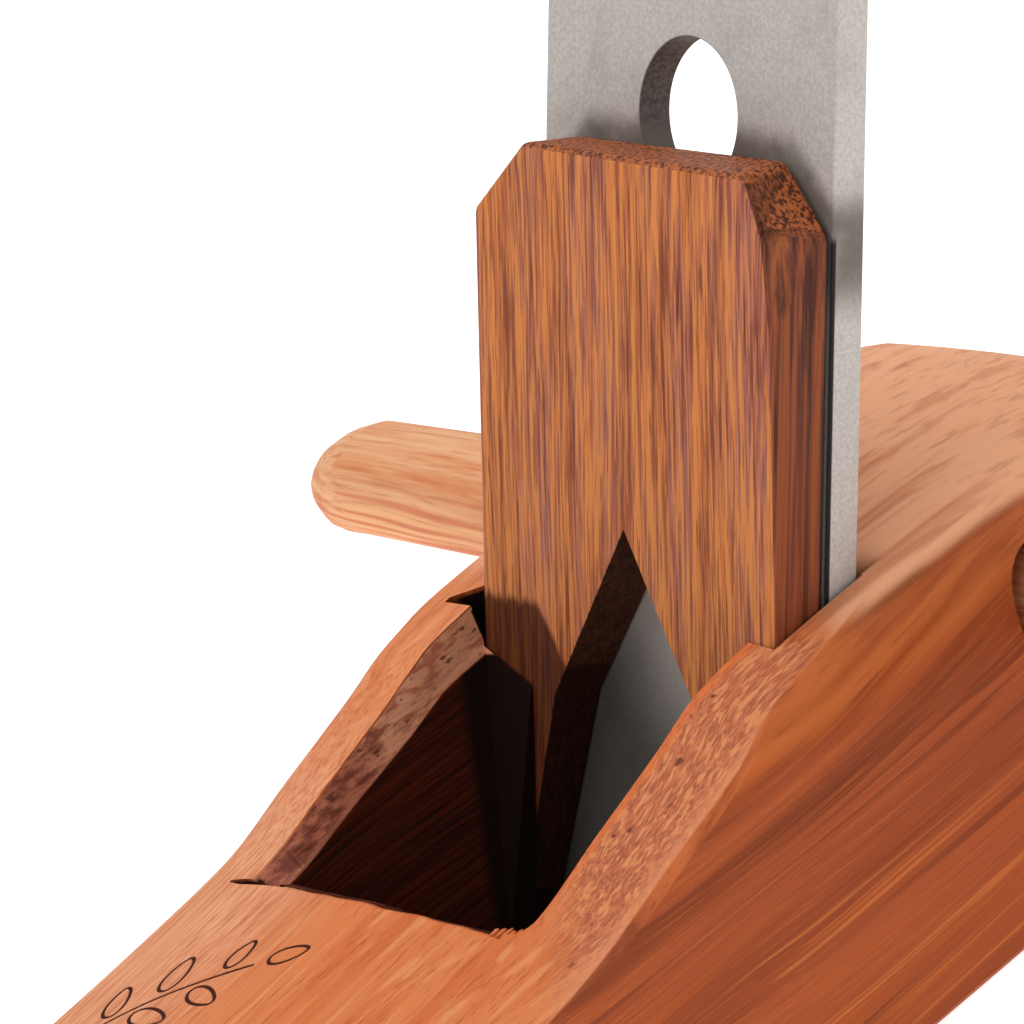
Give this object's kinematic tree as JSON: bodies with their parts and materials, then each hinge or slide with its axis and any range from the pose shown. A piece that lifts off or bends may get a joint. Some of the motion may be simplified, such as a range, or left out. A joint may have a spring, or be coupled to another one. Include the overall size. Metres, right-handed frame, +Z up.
{
  "type": "hand plane",
  "caption": "Wooden smoothing plane: low front deck, raised cheeks, steep single iron held by a forked wedge, and a round cross handle pushed through the stock behind the iron.",
  "frame": {"origin": "centre of the sole, at the bottom centre of the whole object", "axes": "+X towards the heel, +Y towards the plane's right-hand side, +Z up from the sole"},
  "size_m": [0.18, 0.175, 0.1057],
  "materials": {
    "stock_wood": "oiled red-brown hardwood with long streaks and open pores",
    "iron_steel": "matte ground tool steel",
    "wedge_wood": "coarse striped hardwood, lightly oiled",
    "handle_wood": "pale tan hardwood, smooth"
  },
  "bodies": {
    "stock": {"stock": "stock_wood"},
    "iron": {"iron": "iron_steel"},
    "wedge": {"wedge": "wedge_wood"},
    "cross_handle": {"cross_handle": "handle_wood"}
  },
  "joints": [
    {"name": "iron_slide", "type": "slide", "parent": "stock", "child": "iron", "axis": [0.5, 0, 0.866], "range_m": [-0.0012, 0.03]},
    {"name": "wedge_slide", "type": "slide", "parent": "stock", "child": "wedge", "axis": [0.5, 0, 0.866], "range_m": [0, 0.035]},
    {"name": "handle_slide", "type": "slide", "parent": "stock", "child": "cross_handle", "axis": [0, 1, 0], "range_m": [-0.05, 0.05]}
  ]
}
